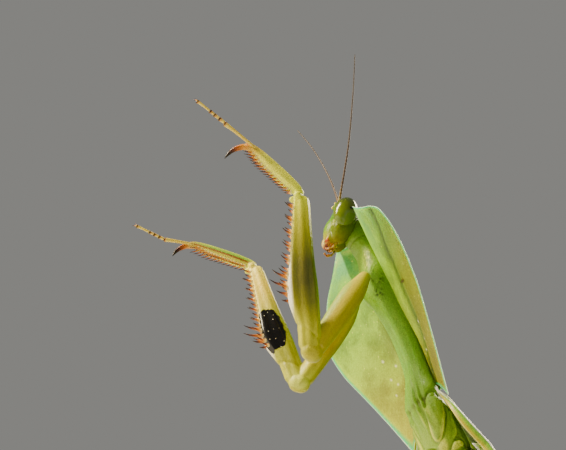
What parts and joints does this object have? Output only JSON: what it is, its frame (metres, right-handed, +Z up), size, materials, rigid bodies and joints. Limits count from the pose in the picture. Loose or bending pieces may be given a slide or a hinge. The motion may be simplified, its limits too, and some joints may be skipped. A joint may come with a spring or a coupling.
{
  "type": "praying mantis figure",
  "caption": "Green shield mantis, life size, standing with its broad leaf-like shield reared up and both spined forelegs raised; a still museum-style model.",
  "frame": {"origin": "centre of the bounding box, at the floor under the feet", "axes": "the animal faces -Y with its left side towards +X, and +Z is up"},
  "size_m": [0.06, 0.0768, 0.0787],
  "materials": {
    "shield_cuticle": "satin, faintly translucent",
    "body_cuticle": "satin",
    "head_cuticle": "satin",
    "eye_cuticle": "glossy",
    "mouth_cuticle": "satin",
    "antenna_cuticle": "matt",
    "fore_coxa_cuticle": "satin",
    "fore_femur_cuticle": "satin",
    "fore_tibia_cuticle": "satin",
    "tarsus_cuticle": "satin",
    "abdomen_cuticle": "satin",
    "wing_cuticle": "satin, veined",
    "leg_cuticle": "satin"
  },
  "bodies": {
    "root": {"abdomen": "abdomen_cuticle", "antenna_left": "antenna_cuticle", "antenna_right": "antenna_cuticle", "cercus_left": "abdomen_cuticle", "cercus_right": "abdomen_cuticle", "eye_left": "eye_cuticle", "eye_right": "eye_cuticle", "fore_coxa_left": "fore_coxa_cuticle", "fore_coxa_right": "fore_coxa_cuticle", "fore_femur_left": "fore_femur_cuticle", "fore_femur_right": "fore_femur_cuticle", "fore_tarsus_left": "tarsus_cuticle", "fore_tarsus_right": "tarsus_cuticle", "fore_tibia_left": "fore_tibia_cuticle", "fore_tibia_right": "fore_tibia_cuticle", "fore_trochanter_left": "fore_coxa_cuticle", "fore_trochanter_right": "fore_coxa_cuticle", "head": "head_cuticle", "hind_coxa_left": "leg_cuticle", "hind_coxa_right": "leg_cuticle", "hind_femur_left": "leg_cuticle", "hind_femur_right": "leg_cuticle", "hind_tarsus_left": "tarsus_cuticle", "hind_tarsus_right": "tarsus_cuticle", "hind_tibia_left": "leg_cuticle", "hind_tibia_right": "leg_cuticle", "mesothorax": "body_cuticle", "metathorax": "body_cuticle", "mid_coxa_left": "leg_cuticle", "mid_coxa_right": "leg_cuticle", "mid_femur_left": "leg_cuticle", "mid_femur_right": "leg_cuticle", "mid_tarsus_left": "tarsus_cuticle", "mid_tarsus_right": "tarsus_cuticle", "mid_tibia_left": "leg_cuticle", "mid_tibia_right": "leg_cuticle", "mouthparts": "mouth_cuticle", "neck": "body_cuticle", "pronotum_shield": "shield_cuticle", "prothorax": "body_cuticle", "tegmen_left": "wing_cuticle", "tegmen_right": "wing_cuticle"}
  },
  "joints": []
}
